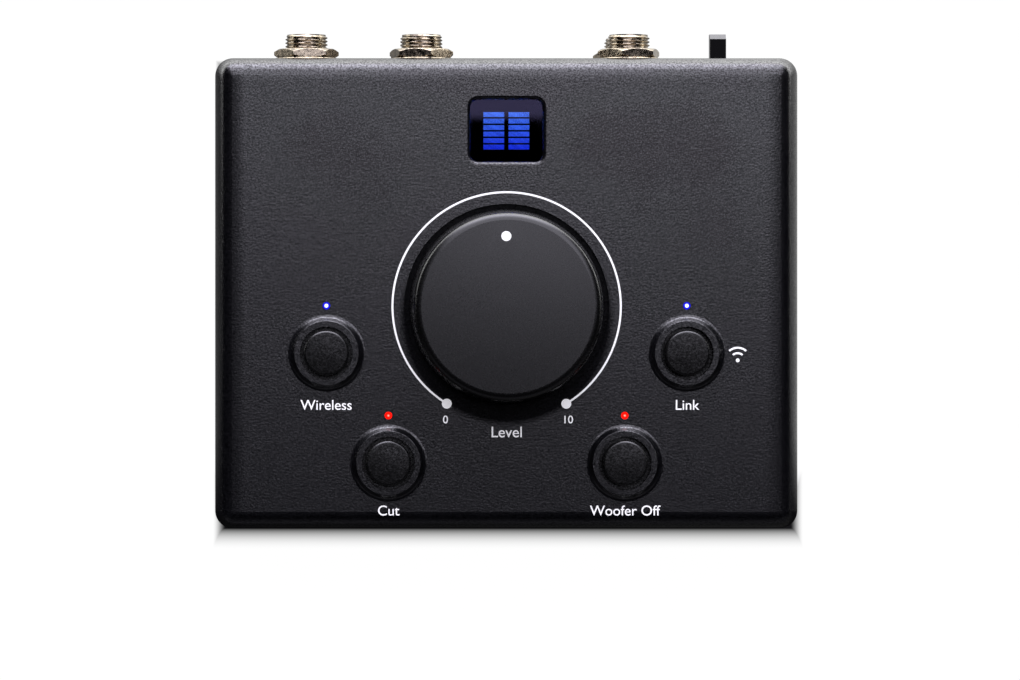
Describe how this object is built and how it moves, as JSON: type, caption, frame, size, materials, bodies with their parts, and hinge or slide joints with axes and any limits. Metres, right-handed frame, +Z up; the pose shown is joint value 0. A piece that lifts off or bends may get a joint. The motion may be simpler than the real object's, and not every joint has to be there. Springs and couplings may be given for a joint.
{
  "type": "studio monitor controller",
  "caption": "Desktop audio controller with a large turning volume dial, lamp-lit push-buttons, a small level display and jack sockets at the back.",
  "frame": {"origin": "on the table, under the middle of the whole object, sockets included", "axes": "+Z up, +Y to the back where the sockets are, +X to the user's right"},
  "size_m": [0.13, 0.111, 0.059],
  "materials": {
    "black_paint": "fine textured matt black paint",
    "panel_paint": "satin black paint",
    "plate_steel": "black coated sheet steel",
    "rubber": "matt",
    "screw_steel": "black zinc",
    "bright_steel": "bright zinc",
    "knob_black": "satin moulded",
    "white_inlay": "matt",
    "button_black": "fine grained",
    "switch_plastic": "matt",
    "plunger_plastic": "matt",
    "blue_pipe": "clear, lit blue",
    "red_pipe": "clear, lit red",
    "lamp_white": "gloss",
    "lens_black": "smoked, gloss",
    "mask_black": "matt",
    "guide_blue": "clear, lit blue",
    "box_white": "matt",
    "board_green": "solder resist",
    "brass": "turned",
    "jack_plastic": "matt",
    "nickel": "nickel plated",
    "spring_metal": "tinned",
    "chip_black": "matt",
    "can_metal": "satin",
    "module_green": "solder resist",
    "shield_tin": "tinned",
    "cable_grey": "matt",
    "connector_cream": "matt",
    "pin_gold": "plated",
    "pot_metal": "zinc",
    "wiper_brown": "phenolic"
  },
  "bodies": {
    "root": {"aux_barrel": "nickel", "aux_socket": "jack_plastic", "base_plate": "plate_steel", "base_screws": "screw_steel", "blue_light_pipes": "blue_pipe", "board_leds": "lamp_white", "board_pillars": "brass", "board_screws": "bright_steel", "board_spacers": "brass", "control_board": "board_green", "display_lens": "lens_black", "display_light_box": "box_white", "display_light_guides": "guide_blue", "display_mask": "mask_black", "input_left_jack": "jack_plastic", "input_right_jack": "jack_plastic", "jack_bushings": "nickel", "jack_contacts": "spring_metal", "jack_nuts": "nickel", "jack_washers": "nickel", "link_header": "switch_plastic", "link_pins": "pin_gold", "lower_io_board": "board_green", "main_left_jack": "jack_plastic", "main_right_jack": "jack_plastic", "pot_body": "pot_metal", "pot_bushing": "brass", "pot_nut": "nickel", "pot_washer": "bright_steel", "power_inlet": "jack_plastic", "power_inlet_pin": "nickel", "power_switch_body": "switch_plastic", "rear_panel": "panel_paint", "rear_panel_screws": "screw_steel", "red_light_pipes": "red_pipe", "ribbon_cable": "cable_grey", "ribbon_connectors": "connector_cream", "rubber_feet": "rubber", "signal_chips": "chip_black", "sub_out_jack": "jack_plastic", "supply_capacitors": "can_metal", "tact_switches": "switch_plastic", "top_cover": "black_paint", "upper_io_board": "board_green", "wireless_module": "module_green", "wireless_shield": "shield_tin"},
    "dial": {"volume_knob": "knob_black", "knob_pointer_dot": "white_inlay", "pot_shaft": "pot_metal", "pot_wiper": "wiper_brown"},
    "wireless_key": {"wireless_button": "button_black", "wireless_switch_plunger": "plunger_plastic"},
    "pair_key": {"pair_button": "button_black", "pair_switch_plunger": "plunger_plastic"},
    "mute_key": {"mute_button": "button_black", "mute_switch_plunger": "plunger_plastic"},
    "sub_key": {"sub_button": "button_black", "sub_switch_plunger": "plunger_plastic"},
    "power_key": {"power_button": "button_black", "power_switch_slider": "switch_plastic"}
  },
  "joints": [
    {"name": "dial_turn", "type": "hinge", "parent": "root", "child": "dial", "pos_m": [0, -0.0059, 0.0445], "axis": [0, 0, 1], "range_deg": [-150, 147]},
    {"name": "wireless_press", "type": "slide", "parent": "root", "child": "wireless_key", "axis": [0, 0, -1], "range_m": [0, 0.0006], "stiffness_N_per_m": 400, "springref_m": -0.00125},
    {"name": "pair_press", "type": "slide", "parent": "root", "child": "pair_key", "axis": [0, 0, -1], "range_m": [0, 0.0006], "stiffness_N_per_m": 400, "springref_m": -0.00125},
    {"name": "mute_press", "type": "slide", "parent": "root", "child": "mute_key", "axis": [0, 0, -1], "range_m": [0, 0.0006], "stiffness_N_per_m": 400, "springref_m": -0.00125},
    {"name": "sub_press", "type": "slide", "parent": "root", "child": "sub_key", "axis": [0, 0, -1], "range_m": [0, 0.0006], "stiffness_N_per_m": 400, "springref_m": -0.00125},
    {"name": "power_press", "type": "slide", "parent": "root", "child": "power_key", "axis": [0, -1, 0], "range_m": [0, 0.0025], "stiffness_N_per_m": 300, "springref_m": -0.003}
  ]
}
